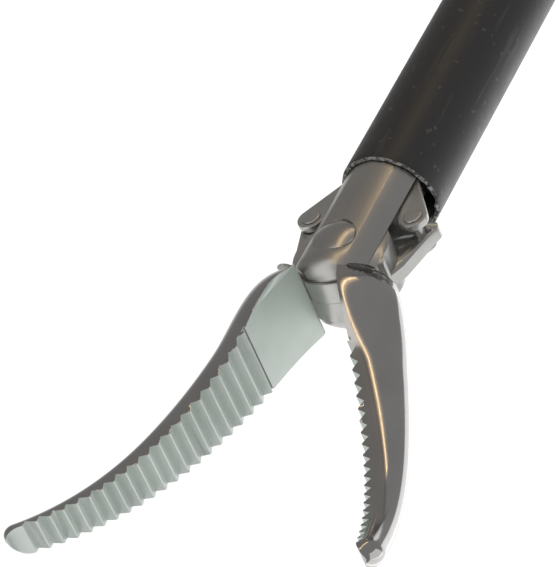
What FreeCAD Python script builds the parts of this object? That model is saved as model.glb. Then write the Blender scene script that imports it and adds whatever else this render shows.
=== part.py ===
import FreeCAD, Part
import Sketcher
import math
import os

# Curved laparoscopic grasping and dissecting forceps with a ring handle.
# The shaft lies along X with the jaws at +X, both jaws hinge about Y,
# and the origin is on the shaft axis where the shaft leaves the rotation knob.
# All lengths are millimetres.

doc = FreeCAD.newDocument("dissector")
sheet = doc.addObject("Spreadsheet::Sheet", "sizes")
V = FreeCAD.Vector


class Size:
    """A length or angle that knows its spreadsheet formula and its value."""

    def __init__(self, text, value):
        self.text = text
        self.value = value

    def __add__(self, other):
        other = as_size(other)
        return Size("(%s + %s)" % (self.text, other.text), self.value + other.value)

    def __radd__(self, other):
        return as_size(other) + self

    def __sub__(self, other):
        other = as_size(other)
        return Size("(%s - %s)" % (self.text, other.text), self.value - other.value)

    def __rsub__(self, other):
        return as_size(other) - self

    def __mul__(self, other):
        other = as_size(other)
        return Size("(%s * %s)" % (self.text, other.text), self.value * other.value)

    def __rmul__(self, other):
        return as_size(other) * self

    def __truediv__(self, other):
        other = as_size(other)
        return Size("(%s / %s)" % (self.text, other.text), self.value / other.value)

    def __neg__(self):
        return Size("(-1 * %s)" % self.text, -self.value)


def as_size(number):
    if isinstance(number, Size):
        return number
    return Size("(%.6f)" % number, float(number))


def cosine(angle):
    angle = as_size(angle)
    return Size("cos(%s * 1 deg)" % angle.text, math.cos(math.radians(angle.value)))


def sine(angle):
    angle = as_size(angle)
    return Size("sin(%s * 1 deg)" % angle.text, math.sin(math.radians(angle.value)))


def arcsine(ratio):
    return Size("(asin(%s) / 1 deg)" % ratio.text, math.degrees(math.asin(ratio.value)))


def largest(number):
    """The number itself, or nothing where it is negative."""
    return Size("max(%s; 0)" % number.text, max(number.value, 0.0))


def root(number):
    return Size("sqrt(%s)" % number.text, math.sqrt(number.value))


row_count = [0]


def cell(name, number):
    """Write one driving dimension to the sheet and return it."""
    row_count[0] += 1
    row = row_count[0]
    sheet.set("A%d" % row, name)
    sheet.set("B%d" % row, str(number))
    sheet.setAlias("B%d" % row, name)
    return Size("sizes.%s" % name, float(number))


def bind(item, prop, size):
    size = as_size(size)
    item.setExpression(prop, size.text)


# Sketch and feature helpers


def new_body(name):
    body = doc.addObject("PartDesign::Body", name)
    body.Label = name
    return body


def origin_item(body, role):
    for item in body.Origin.OriginFeatures:
        if item.Role == role:
            return item


def new_sketch(body, plane, name, offset=0.0):
    sketch = body.newObject("Sketcher::SketchObject", name)
    sketch.AttachmentSupport = [(origin_item(body, plane), "")]
    sketch.MapMode = "FlatFace"
    offset = as_size(offset)
    sketch.AttachmentOffset = FreeCAD.Placement(V(0, 0, offset.value), FreeCAD.Rotation())
    bind(sketch, "AttachmentOffset.Base.z", offset)
    return sketch


def limit(sketch, kind, *data):
    """Add a constraint whose last item is a size."""
    size = as_size(data[-1])
    index = sketch.addConstraint(Sketcher.Constraint(kind, *data[:-1], size.value))
    sketch.setExpression("Constraints[%d]" % index, size.text)


def polygon(sketch, points):
    """A closed outline of straight lines through points given as sizes."""
    points = [(as_size(a), as_size(b)) for a, b in points]
    first = sketch.GeometryCount
    count = len(points)
    for i in range(count):
        start = points[i]
        end = points[(i + 1) % count]
        a = V(start[0].value, start[1].value, 0)
        b = V(end[0].value, end[1].value, 0)
        sketch.addGeometry(Part.LineSegment(a, b), False)
    for i in range(count):
        after = first + (i + 1) % count
        sketch.addConstraint(Sketcher.Constraint("Coincident", first + i, 2, after, 1))
    for i in range(count):
        limit(sketch, "DistanceX", -1, 1, first + i, 1, points[i][0])
        limit(sketch, "DistanceY", -1, 1, first + i, 1, points[i][1])


def circle(sketch, a, b, radius):
    a = as_size(a)
    b = as_size(b)
    radius = as_size(radius)
    index = sketch.addGeometry(Part.Circle(V(a.value, b.value, 0), V(0, 0, 1), radius.value), False)
    limit(sketch, "DistanceX", -1, 1, index, 3, a)
    limit(sketch, "DistanceY", -1, 1, index, 3, b)
    limit(sketch, "Radius", index, radius)


def slot_outline(sketch, a, b, half_length, radius, turn):
    """A stadium outline centred on a, b with its long axis turned from the sketch's Y."""
    a = as_size(a)
    b = as_size(b)
    half_length = as_size(half_length)
    radius = as_size(radius)
    turn = as_size(turn)
    ux = -1 * sine(turn)
    uy = cosine(turn)
    top = (a + half_length * ux, b + half_length * uy)
    low = (a - half_length * ux, b - half_length * uy)
    angle = math.radians(turn.value)
    n = V(math.cos(angle), math.sin(angle), 0)
    pt = V(top[0].value, top[1].value, 0)
    pl = V(low[0].value, low[1].value, 0)
    first = sketch.GeometryCount
    normal = V(0, 0, 1)
    r = radius.value
    sketch.addGeometry(Part.ArcOfCircle(Part.Circle(pt, normal, r), angle, angle + math.pi), False)
    sketch.addGeometry(Part.LineSegment(pt - n * r, pl - n * r), False)
    low_arc = Part.ArcOfCircle(Part.Circle(pl, normal, r), angle + math.pi, angle + 2 * math.pi)
    sketch.addGeometry(low_arc, False)
    sketch.addGeometry(Part.LineSegment(pl + n * r, pt + n * r), False)
    sketch.addConstraint(Sketcher.Constraint("Tangent", first, 2, first + 1, 1))
    sketch.addConstraint(Sketcher.Constraint("Tangent", first + 1, 2, first + 2, 1))
    sketch.addConstraint(Sketcher.Constraint("Tangent", first + 2, 2, first + 3, 1))
    sketch.addConstraint(Sketcher.Constraint("Tangent", first + 3, 2, first, 1))
    limit(sketch, "DistanceX", -1, 1, first, 3, top[0])
    limit(sketch, "DistanceY", -1, 1, first, 3, top[1])
    limit(sketch, "DistanceX", -1, 1, first + 2, 3, low[0])
    limit(sketch, "DistanceY", -1, 1, first + 2, 3, low[1])
    limit(sketch, "Radius", first, radius)


def pad(body, sketch, name, length, middle=False, backward=False):
    feature = body.newObject("PartDesign::Pad", name)
    feature.Profile = sketch
    feature.Length = as_size(length).value
    bind(feature, "Length", length)
    if middle:
        feature.Midplane = True
    if backward:
        feature.Reversed = True
    doc.recompute()
    return feature


def pocket(body, sketch, name, length, middle=False, backward=False):
    before = body.Shape.Volume
    feature = body.newObject("PartDesign::Pocket", name)
    feature.Profile = sketch
    feature.Length = as_size(length).value
    bind(feature, "Length", length)
    if middle:
        feature.Midplane = True
    if backward:
        feature.Reversed = True
    doc.recompute()
    if body.Shape.Volume > before - 1e-6:
        bad = [item.Name for item in doc.Objects if "Invalid" in item.State or "Error" in item.State]
        raise RuntimeError("pocket %s cuts nothing, failed: %s" % (name, bad))
    return feature


def revolve(body, sketch, name):
    feature = body.newObject("PartDesign::Revolution", name)
    feature.Profile = sketch
    feature.ReferenceAxis = (sketch, ["H_Axis"])
    feature.Angle = 360
    doc.recompute()
    return feature


def edges_where(shape, test):
    names = []
    for number, edge in enumerate(shape.Edges, 1):
        if test(edge):
            names.append("Edge%d" % number)
    return names


def round_edges(body, name, radius, test):
    feature = body.newObject("PartDesign::Fillet", name)
    base = body.Group[-2] if body.Group[-1] is feature else body.Group[-1]
    names = edges_where(base.Shape, test)
    feature.Base = (base, names)
    feature.Radius = as_size(radius).value
    bind(feature, "Radius", radius)
    doc.recompute()
    return feature


def bevel_edges(body, name, width, test):
    feature = body.newObject("PartDesign::Chamfer", name)
    base = body.Group[-2] if body.Group[-1] is feature else body.Group[-1]
    names = edges_where(base.Shape, test)
    feature.Base = (base, names)
    feature.Size = as_size(width).value
    bind(feature, "Size", width)
    doc.recompute()
    return feature


def place(body, x, y, z, axis=None, angle=0.0):
    x = as_size(x)
    y = as_size(y)
    z = as_size(z)
    angle = as_size(angle)
    turn = FreeCAD.Rotation(V(0, 1, 0), 0)
    if axis is not None:
        turn = FreeCAD.Rotation(V(*axis), angle.value)
    body.Placement = FreeCAD.Placement(V(x.value, y.value, z.value), turn)
    bind(body, "Placement.Base.x", x)
    bind(body, "Placement.Base.y", y)
    bind(body, "Placement.Base.z", z)
    if axis is not None:
        bind(body, "Placement.Rotation.Angle", angle)


# Driving dimensions of the shaft and the clevis
pivot_x = cell("pivot_x", 310)
shaft_radius = cell("shaft_radius", 2.5)
sleeve_wall = cell("sleeve_wall", 0.25)
tube_wall = cell("tube_wall", 0.5)
rim_setback = cell("rim_setback", 5.2)
tube_rear = cell("tube_rear", 44)
sleeve_rear = cell("sleeve_rear", 8)
barrel_length = cell("barrel_length", 13)
spigot_length = cell("spigot_length", 9)
spigot_clearance = cell("spigot_clearance", 0.02)
slot_length = cell("slot_length", 11.6)
slot_width = cell("slot_width", 2.4)
cheek_round = cell("cheek_round", 2.25)
nose_curve = cell("nose_curve", 1)
running_clearance = cell("running_clearance", 0.03)
rod_radius = cell("rod_radius", 0.9)
rod_clearance = cell("rod_clearance", 0.05)

# Driving dimensions of the jaw pivot and the jaws
pin_radius = cell("pin_radius", 0.6)
pin_head_radius = cell("pin_head_radius", 1.05)
pin_head_seat = cell("pin_head_seat", 1.92)
pin_head_rim = cell("pin_head_rim", 0.2)
pin_head_dome = cell("pin_head_dome", 0.3)
rest_opening = cell("rest_opening", 25)
hub_radius = cell("hub_radius", 2.4)
hub_gap = cell("hub_gap", 0.02)
hub_side_gap = cell("hub_side_gap", 0.03)
tail_thick = cell("tail_thick", 0.62)
tail_corner_back = cell("tail_corner_back", 4.55)
tail_corner_rise = cell("tail_corner_rise", 1.82)
tail_shoulder_back = cell("tail_shoulder_back", 1.4)
tail_shoulder_rise = cell("tail_shoulder_rise", 2.42)
tail_round = cell("tail_round", 0.4)
knee_radius = cell("knee_radius", 3.72)
knee_angle = cell("knee_angle", 22.7)
knee_pin = cell("knee_pin", 0.28)
knee_head_radius = cell("knee_head_radius", 0.6)
knee_head_thick = cell("knee_head_thick", 0.24)
knee_free = cell("knee_free", 0.13)
face_gap = cell("face_gap", 0.03)
face_step = cell("face_step", 0.09)
block_start = cell("block_start", 2.85)
heel_round = cell("heel_round", 0.35)
notch_width = cell("notch_width", 0.14)
notch_depth = cell("notch_depth", 0.1)
tooth_start = cell("tooth_start", 6.6)
tooth_pitch = cell("tooth_pitch", 0.7)
tooth_depth = cell("tooth_depth", 0.32)
tooth_flat = cell("tooth_flat", 0.08)
tooth_count = cell("tooth_count", 20)
jaw_end = cell("jaw_end", 21.15)
nose_round = cell("nose_round", 0.8)

# Driving dimensions of the blade: its sideways bow, half width and side height
root_bow = cell("root_bow", 0.13)
bow_place = cell("bow_place", 12.5)
bow_depth = cell("bow_depth", -1.69)
bow_rear_curve = cell("bow_rear_curve", 0.047)
bow_front_curve = cell("bow_front_curve", 0.064)
root_half = cell("root_half", 2.3)
start_half = cell("start_half", 1.78)
end_half = cell("end_half", 0.84)
half_belly = cell("half_belly", -0.79)
root_side = cell("root_side", 0.08)
start_side = cell("start_side", 0.43)
end_side = cell("end_side", 0.17)
side_belly = cell("side_belly", 0.98)

# Driving dimensions of the links and the push rod
link_length = cell("link_length", 4.386)
link_knee_round = cell("link_knee_round", 0.7)
link_rod_round = cell("link_rod_round", 0.5)
link_gap = cell("link_gap", 0.06)
link_thick = cell("link_thick", 0.38)
link_pin = cell("link_pin", 0.28)
link_pin_head = cell("link_pin_head", 0.44)
link_pin_offset = cell("link_pin_offset", 0.65)
tongue_half = cell("tongue_half", 1.35)
tongue_back = cell("tongue_back", 2.1)
tongue_front = cell("tongue_front", 0.6)

# Driving dimensions of the knob and the bushing
knob_length = cell("knob_length", 28)
knob_nose_radius = cell("knob_nose_radius", 6.5)
knob_radius = cell("knob_radius", 14)
knob_cone = cell("knob_cone", 11)
knob_rear_radius = cell("knob_rear_radius", 9.5)
knob_waist = cell("knob_waist", 4)
flute_radius = cell("flute_radius", 4.2)
flute_offset = cell("flute_offset", 16.4)
flute_count = cell("flute_count", 8)
bushing_radius = cell("bushing_radius", 5)
bushing_flange = cell("bushing_flange", 5.9)
bushing_flange_thick = cell("bushing_flange_thick", 1.6)
bushing_clearance = cell("bushing_clearance", 0.06)
nose_gap = cell("nose_gap", 0.4)

# Driving dimensions of the handle
nose_length = cell("nose_length", 12)
nose_radius = cell("nose_radius", 9)
body_thick = cell("body_thick", 15)
body_top = cell("body_top", 12)
body_rear = cell("body_rear", 79)
body_low = cell("body_low", 24)
body_edge = cell("body_edge", 2.4)
corner_round = cell("corner_round", 6)
lever_x = cell("lever_x", 58)
lever_drop = cell("lever_drop", 8)
lever_thick = cell("lever_thick", 5)
lever_side_gap = cell("lever_side_gap", 0.2)
boss_radius = cell("boss_radius", 7)
arm_width = cell("arm_width", 11.4)
arm_slim = cell("arm_slim", 8.2)
loop_x = cell("loop_x", 49)
loop_drop = cell("loop_drop", 58)
loop_half = cell("loop_half", 18)
loop_inner = cell("loop_inner", 11)
loop_wall = cell("loop_wall", 4.6)
loop_thick = cell("loop_thick", 9)
loop_turn = cell("loop_turn", 10)
loop_edge = cell("loop_edge", 1.8)
ring_x = cell("ring_x", 118)
ring_drop = cell("ring_drop", 56)
ring_inner = cell("ring_inner", 12.5)
ring_wall = cell("ring_wall", 4.6)
ball_radius = cell("ball_radius", 2.4)
ball_gap = cell("ball_gap", 0.08)
yoke_wall = cell("yoke_wall", 1.9)
screw_radius = cell("screw_radius", 2.2)
screw_head_radius = cell("screw_head_radius", 4)
screw_head_thick = cell("screw_head_thick", 1.8)
screw_slot = cell("screw_slot", 0.9)
post_x = cell("post_x", 68)
post_radius = cell("post_radius", 2)
post_length = cell("post_length", 13)
post_root = cell("post_root", 4.5)
post_foot = cell("post_foot", 2.4)
collar_radius = cell("collar_radius", 4.4)
collar_height = cell("collar_height", 9)
button_x = cell("button_x", 50)
button_radius = cell("button_radius", 3.2)
button_gap = cell("button_gap", 0.08)
button_height = cell("button_height", 2.4)
button_travel = cell("button_travel", 1.2)
button_grip = cell("button_grip", 1.6)
port_length = cell("port_length", 9.5)
port_radius = cell("port_radius", 3)
port_bore = cell("port_bore", 1.9)
port_flare = cell("port_flare", 0.5)
port_cap_radius = cell("port_cap_radius", 3.9)
port_cap_height = cell("port_cap_height", 4.5)
port_setback = cell("port_setback", 6.1)
port_seat = cell("port_seat", 7.5)

# Places that follow from the sizes above
barrel_radius = shaft_radius - sleeve_wall
tube_inner = barrel_radius - tube_wall
half_slot = slot_width / 2
hub_outer = half_slot - hub_side_gap
hub_width = hub_outer - hub_gap
tail_outer = hub_gap + tail_thick
link_near = tail_outer + link_gap
link_far = link_near + link_thick
knee_rest = knee_angle + rest_opening
link_angle = arcsine((knee_radius * sine(knee_rest) - link_pin_offset) / link_length)
tongue_x = pivot_x - knee_radius * cosine(knee_rest) - link_length * cosine(link_angle)
barrel_rear = pivot_x - barrel_length
ball_x = -1 * lever_x
nose_front = -1 * (knob_length + nose_gap)
nose_rear = nose_front - nose_length
port_x = port_setback - nose_front


def bow_at(station):
    """Sideways place of the blade's centre line, two arcs that meet at bow_place."""
    ahead = largest(station - bow_place)
    behind = largest(bow_place - station)
    rear = bow_rear_curve * behind * behind / 2
    front = bow_front_curve * ahead * ahead / 2
    return bow_depth + rear + front


nose_start = jaw_end - nose_round
button_depth = button_travel * 2 + button_grip + 0.3

# Sections of the blade, five from the block to the teeth and eleven along the teeth
sections = []
start_bow = bow_at(tooth_start)
for i in range(5):
    u = i / 5.0
    sections.append((
        "block_%d" % i,
        block_start + (tooth_start - block_start) * u,
        root_bow + (start_bow - root_bow) * u ** 3,
        root_half + (start_half - root_half) * u ** 3,
        root_side + (start_side - root_side) * u ** 2,
    ))
for i in range(11):
    u = i / 10.0
    station = tooth_start + (nose_start - tooth_start) * u
    sections.append((
        "blade_%d" % i,
        station,
        bow_at(station),
        start_half + (end_half - start_half) * u + half_belly * (u * (1 - u)),
        start_side + (end_side - start_side) * u + side_belly * (u * (1 - u)),
    ))
nose_sections = []
for i in range(6):
    turn = math.radians(14.5 * i)
    station = nose_start + nose_round * math.sin(turn)
    nose_sections.append((
        "nose_%d" % i,
        station,
        bow_at(station),
        end_half * math.cos(turn),
        end_side * math.cos(turn),
    ))
heel_sections = []
for i in range(5):
    turn = math.radians(19 * i)
    heel_sections.append((
        "heel_%d" % i,
        block_start - heel_round * math.sin(turn),
        root_bow,
        root_half - heel_round * (1 - math.cos(turn)),
        root_side,
    ))


# The clevis: a turned steel barrel with a wide slot whose two rounded cheeks
# carry the jaw pin, and a thinner spigot that plugs into the shaft tube.
clevis = new_body("clevis")
outline = new_sketch(clevis, "XZ_Plane", "clevis_profile")
polygon(outline, [
    (barrel_rear - spigot_length, rod_radius + rod_clearance),
    (barrel_rear - spigot_length, tube_inner - spigot_clearance),
    (barrel_rear, tube_inner - spigot_clearance),
    (barrel_rear, barrel_radius),
    (pivot_x + cheek_round, barrel_radius),
    (pivot_x + cheek_round, rod_radius + rod_clearance),
])
revolve(clevis, outline, "clevis_turned")


def nose_rim(item):
    box = item.BoundBox
    front = abs(box.XMin - pivot_x.value - cheek_round.value) < 1e-3
    return front and box.XLength < 1e-3 and box.ZMax > barrel_radius.value - 1e-3


round_edges(clevis, "clevis_nose", nose_curve, nose_rim)
slot = new_sketch(clevis, "XY_Plane", "clevis_slot")
polygon(slot, [
    (pivot_x - slot_length, half_slot * -1),
    (pivot_x + cheek_round + 1, half_slot * -1),
    (pivot_x + cheek_round + 1, half_slot),
    (pivot_x - slot_length, half_slot),
])
pocket(clevis, slot, "clevis_slot_cut", shaft_radius * 4, middle=True)
ends = new_sketch(clevis, "XZ_Plane", "clevis_cheek_ends")
reach = cheek_round + 1
edge = cheek_round + 0.4
arc_circle = Part.Circle(V(pivot_x.value, 0, 0), V(0, 0, 1), cheek_round.value)
arc = ends.addGeometry(Part.ArcOfCircle(arc_circle, -math.pi / 2, math.pi / 2), False)
corners = [
    (pivot_x, cheek_round),
    (pivot_x, edge),
    (pivot_x + reach, edge),
    (pivot_x + reach, edge * -1),
    (pivot_x, edge * -1),
    (pivot_x, cheek_round * -1),
]
for i in range(5):
    a = V(corners[i][0].value, corners[i][1].value, 0)
    b = V(corners[i + 1][0].value, corners[i + 1][1].value, 0)
    ends.addGeometry(Part.LineSegment(a, b), False)
for i in range(4):
    ends.addConstraint(Sketcher.Constraint("Coincident", i + 1, 2, i + 2, 1))
ends.addConstraint(Sketcher.Constraint("Coincident", arc, 2, 1, 1))
ends.addConstraint(Sketcher.Constraint("Coincident", arc, 1, 5, 2))
limit(ends, "DistanceX", -1, 1, arc, 3, pivot_x)
limit(ends, "DistanceY", -1, 1, arc, 3, 0.0)
limit(ends, "Radius", arc, cheek_round)
for i in range(5):
    limit(ends, "DistanceX", -1, 1, i + 1, 1, corners[i][0])
limit(ends, "DistanceX", -1, 1, 5, 2, corners[5][0])
for i in range(1, 5):
    limit(ends, "DistanceY", -1, 1, i + 1, 1, corners[i][1])
pocket(clevis, ends, "clevis_round_cut", shaft_radius * 4, middle=True)
hole = new_sketch(clevis, "XZ_Plane", "clevis_pin_hole")
circle(hole, pivot_x, 0.0, pin_radius)
pocket(clevis, hole, "clevis_pin_cut", shaft_radius * 4, middle=True)
near = new_sketch(clevis, "XZ_Plane", "clevis_near_seat", pin_head_seat)
circle(near, pivot_x, 0.0, pin_head_radius)
pocket(clevis, near, "clevis_near_cut", shaft_radius, backward=True)
far = new_sketch(clevis, "XZ_Plane", "clevis_far_seat", pin_head_seat * -1)
circle(far, pivot_x, 0.0, pin_head_radius)
pocket(clevis, far, "clevis_far_cut", shaft_radius)

# The jaw pin: a rivet across both cheeks with low domed heads.
jaw_pin = new_body("jaw_pin")
profile = new_sketch(jaw_pin, "XY_Plane", "jaw_pin_profile")
seat = pin_head_seat
rim = pin_head_seat + pin_head_rim
top = rim + pin_head_dome
shoulder = pin_head_radius * 0.6
polygon(profile, [
    (0.0, top * -1),
    (shoulder, rim * -1 - pin_head_dome * 0.7),
    (pin_head_radius, rim * -1),
    (pin_head_radius, seat * -1),
    (pin_radius, seat * -1),
    (pin_radius, seat),
    (pin_head_radius, seat),
    (pin_head_radius, rim),
    (shoulder, rim + pin_head_dome * 0.7),
    (0.0, top),
])
turned = jaw_pin.newObject("PartDesign::Revolution", "jaw_pin_turned")
turned.Profile = profile
turned.ReferenceAxis = (profile, ["V_Axis"])
turned.Angle = 360
doc.recompute()
place(jaw_pin, pivot_x, 0.0, 0.0)


# The jaws: each is one piece of steel, a curved half-round blade with a flat
# toothed face, a round hub in the clevis slot and a short tail behind the pin.
def half_round(body, name, station, bow, half, side_height, sign):
    sketch = new_sketch(body, "YZ_Plane", name, station)
    middle = bow * -1
    floor = face_gap * sign
    shelf = (face_gap + side_height) * sign
    right = middle + half
    m = middle.value
    f = floor.value
    s = shelf.value
    w = half.value
    sketch.addGeometry(Part.LineSegment(V(m - w, f, 0), V(m + w, f, 0)), False)
    sketch.addGeometry(Part.LineSegment(V(m + w, f, 0), V(m + w, s, 0)), False)
    turn = (0, math.pi) if sign > 0 else (math.pi, 2 * math.pi)
    arc_of = Part.ArcOfCircle(Part.Circle(V(m, s, 0), V(0, 0, 1), w), turn[0], turn[1])
    sketch.addGeometry(arc_of, False)
    sketch.addGeometry(Part.LineSegment(V(m - w, s, 0), V(m - w, f, 0)), False)
    begin = 1 if sign > 0 else 2
    finish = 2 if sign > 0 else 1
    sketch.addConstraint(Sketcher.Constraint("Coincident", 0, 2, 1, 1))
    sketch.addConstraint(Sketcher.Constraint("Coincident", 1, 2, 2, begin))
    sketch.addConstraint(Sketcher.Constraint("Coincident", 2, finish, 3, 1))
    sketch.addConstraint(Sketcher.Constraint("Coincident", 3, 2, 0, 1))
    sketch.addConstraint(Sketcher.Constraint("Horizontal", 0))
    sketch.addConstraint(Sketcher.Constraint("Vertical", 1))
    sketch.addConstraint(Sketcher.Constraint("Vertical", 3))
    limit(sketch, "DistanceX", -1, 1, 0, 2, right)
    limit(sketch, "DistanceY", -1, 1, 0, 2, floor)
    limit(sketch, "DistanceY", -1, 1, 1, 2, shelf)
    limit(sketch, "DistanceX", -1, 1, 2, 3, middle)
    limit(sketch, "DistanceY", -1, 1, 2, 3, shelf)
    limit(sketch, "DistanceY", -1, 1, 3, 1, shelf)
    return sketch


def make_jaw(name, sign):
    body = new_body(name)
    for stretch, stations in (("blade", sections), ("nose", nose_sections), ("heel", heel_sections)):
        rings = []
        for label, station, bow, half, side_height in stations:
            ring = half_round(body, "%s_%s" % (name, label), station, bow, half, side_height, sign)
            rings.append(ring)
        doc.recompute()
        loft = body.newObject("PartDesign::AdditiveLoft", "%s_%s" % (name, stretch))
        loft.Profile = rings[0]
        loft.Sections = rings[1:]
        loft.Ruled = False
        loft.Closed = False
        doc.recompute()

    if sign > 0:
        hub_plane = hub_gap
        tail_plane = hub_gap
    else:
        hub_plane = hub_outer * -1
        tail_plane = tail_outer * -1
    disc = new_sketch(body, "XZ_Plane", name + "_hub_disc", hub_plane)
    circle(disc, 0.0, 0.0, hub_radius)
    pad(body, disc, name + "_hub", hub_width)
    neck = new_sketch(body, "XZ_Plane", name + "_neck_outline", hub_plane)
    neck_end = block_start + 0.6
    polygon(neck, [
        (0.0, (face_gap + face_step) * sign),
        (neck_end, (face_gap + face_step) * sign),
        (neck_end, hub_radius * 0.8 * sign),
        (hub_radius * 0.45, hub_radius * 0.85 * sign),
    ])
    pad(body, neck, name + "_neck", hub_width)

    tail = new_sketch(body, "XZ_Plane", name + "_tail_outline", tail_plane)
    back = tail_corner_back * -1
    polygon(tail, [
        (hub_radius * 0.2, hub_radius * 0.97 * sign * -1),
        (tail_shoulder_back * -1, tail_shoulder_rise * sign * -1),
        (back, tail_corner_rise * sign * -1),
        (back + 0.45, tail_corner_rise * 0.3 * sign * -1),
        (hub_radius * -0.9, hub_radius * 0.1 * sign),
    ])
    pad(body, tail, name + "_tail", tail_thick)

    def tail_end(item):
        box = item.BoundBox
        upright = abs(box.YLength - tail_thick.value) < 1e-3
        return upright and box.XMax < -(tail_corner_back.value - 0.6) and box.XLength < 1e-3

    round_edges(body, name + "_tail_round", tail_round, tail_end)

    bore = new_sketch(body, "XZ_Plane", name + "_bore")
    circle(bore, 0.0, 0.0, pin_radius + running_clearance)
    pocket(body, bore, name + "_bore_cut", slot_width * 3, middle=True)
    eye = new_sketch(body, "XZ_Plane", name + "_eye")
    circle(eye, knee_radius * cosine(knee_angle) * -1, knee_radius * sine(knee_angle) * sign * -1, knee_pin)
    pocket(body, eye, name + "_eye_cut", slot_width * 3, middle=True)

    step = new_sketch(body, "XZ_Plane", name + "_step")
    step_end = tooth_start - tooth_pitch * 0.5
    step_floor = face_gap + face_step
    step_start = block_start - heel_round - 0.05
    polygon(step, [
        (step_start, face_gap * sign * -1),
        (step_end, face_gap * sign * -1),
        (step_end, (step_floor + notch_depth) * sign),
        (step_end - notch_width, step_floor * sign),
        (step_start, step_floor * sign),
    ])
    pocket(body, step, name + "_step_cut", shaft_radius * 4, middle=True)

    groove = new_sketch(body, "XZ_Plane", name + "_groove")
    groove_half = (tooth_pitch - tooth_flat) / 2
    spread = 1 + as_size(0.06) / tooth_depth
    polygon(groove, [
        (tooth_start - groove_half * spread, (face_gap - 0.06) * sign),
        (tooth_start + groove_half * spread, (face_gap - 0.06) * sign),
        (tooth_start, (face_gap + tooth_depth) * sign),
    ])
    cut = pocket(body, groove, name + "_groove_cut", shaft_radius * 4, middle=True)
    row = body.newObject("PartDesign::LinearPattern", name + "_teeth")
    row.Originals = [cut]
    row.Direction = (origin_item(body, "X_Axis"), [""])
    row.Length = tooth_pitch.value * (tooth_count.value - 1)
    row.Occurrences = int(tooth_count.value)
    bind(row, "Length", tooth_pitch * (tooth_count - 1))
    bind(row, "Occurrences", tooth_count)
    body.Tip = row
    doc.recompute()
    place(body, pivot_x, 0.0, 0.0, (0, -sign, 0), rest_opening)
    return body


upper_jaw = make_jaw("upper_jaw", 1)
lower_jaw = make_jaw("lower_jaw", -1)


# The knee rivets: one through each tail and the end of its link, with a low
# head behind the tail and a thin peened head in front of the link.
def make_knee_rivet(name, sign):
    body = new_body(name)
    if sign > 0:
        back_face = hub_gap
    else:
        back_face = tail_outer * -1
    head = knee_head_thick
    front = link_far + 0.02
    sketch = new_sketch(body, "XY_Plane", name + "_profile")
    polygon(sketch, [
        (0.0, back_face * -1 + head),
        (knee_head_radius * 0.72, back_face * -1 + head),
        (knee_head_radius, back_face * -1 + head * 0.45),
        (knee_head_radius, back_face * -1),
        (knee_pin, back_face * -1),
        (knee_pin, front * -1),
        (knee_pin + knee_free + 0.08, front * -1),
        (knee_pin + knee_free, front * -1 - 0.06),
        (0.0, front * -1 - 0.07),
    ])
    feature = body.newObject("PartDesign::Revolution", name + "_turned")
    feature.Profile = sketch
    feature.ReferenceAxis = (sketch, ["V_Axis"])
    feature.Angle = 360
    doc.recompute()
    knee_x = pivot_x - knee_radius * cosine(knee_rest)
    knee_z = knee_radius * sine(knee_rest) * sign * -1
    place(body, knee_x, 0.0, knee_z)
    return body


knee_rivet_upper = make_knee_rivet("knee_rivet_upper", 1)
knee_rivet_lower = make_knee_rivet("knee_rivet_lower", -1)


# The links: flat steel plates between the push rod's tongue and the jaw tails,
# with rounded ends; the eye at the knee is the larger one.
def make_link(name, sign):
    body = new_body(name)
    sketch = new_sketch(body, "XZ_Plane", name + "_outline", link_near)
    length = link_length
    lean = (link_knee_round - link_rod_round) / length
    level = root(1 - lean * lean)
    big = link_knee_round
    small = link_rod_round
    angle = math.asin(lean.value)
    normal = V(0, 0, 1)
    tilt = math.pi / 2 + angle
    rear = Part.Circle(V(0, 0, 0), normal, small.value)
    front = Part.Circle(V(length.value, 0, 0), normal, big.value)
    n_x = math.cos(tilt)
    n_y = math.sin(tilt)
    sketch.addGeometry(Part.ArcOfCircle(rear, tilt, 2 * math.pi - tilt), False)
    a = V(small.value * n_x, -small.value * n_y, 0)
    b = V(length.value + big.value * n_x, -big.value * n_y, 0)
    sketch.addGeometry(Part.LineSegment(a, b), False)
    sketch.addGeometry(Part.ArcOfCircle(front, -tilt, tilt), False)
    a = V(length.value + big.value * n_x, big.value * n_y, 0)
    b = V(small.value * n_x, small.value * n_y, 0)
    sketch.addGeometry(Part.LineSegment(a, b), False)
    sketch.addConstraint(Sketcher.Constraint("Tangent", 0, 2, 1, 1))
    sketch.addConstraint(Sketcher.Constraint("Tangent", 1, 2, 2, 1))
    sketch.addConstraint(Sketcher.Constraint("Tangent", 2, 2, 3, 1))
    sketch.addConstraint(Sketcher.Constraint("Tangent", 3, 2, 0, 1))
    limit(sketch, "DistanceX", -1, 1, 0, 3, 0.0)
    limit(sketch, "DistanceY", -1, 1, 0, 3, 0.0)
    limit(sketch, "DistanceX", -1, 1, 2, 3, length)
    limit(sketch, "DistanceY", -1, 1, 2, 3, 0.0)
    limit(sketch, "Radius", 0, small)
    limit(sketch, "Radius", 2, big)
    pad(body, sketch, name + "_plate", link_thick)
    eyes = new_sketch(body, "XZ_Plane", name + "_eyes")
    circle(eyes, 0.0, 0.0, link_pin + running_clearance)
    circle(eyes, length, 0.0, knee_pin + knee_free)
    pocket(body, eyes, name + "_eyes_cut", slot_width * 3, middle=True)
    place(body, tongue_x, 0.0, link_pin_offset * sign * -1, (0, sign, 0), link_angle)
    return body


upper_link = make_link("upper_link", 1)
lower_link = make_link("lower_link", -1)

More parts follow.
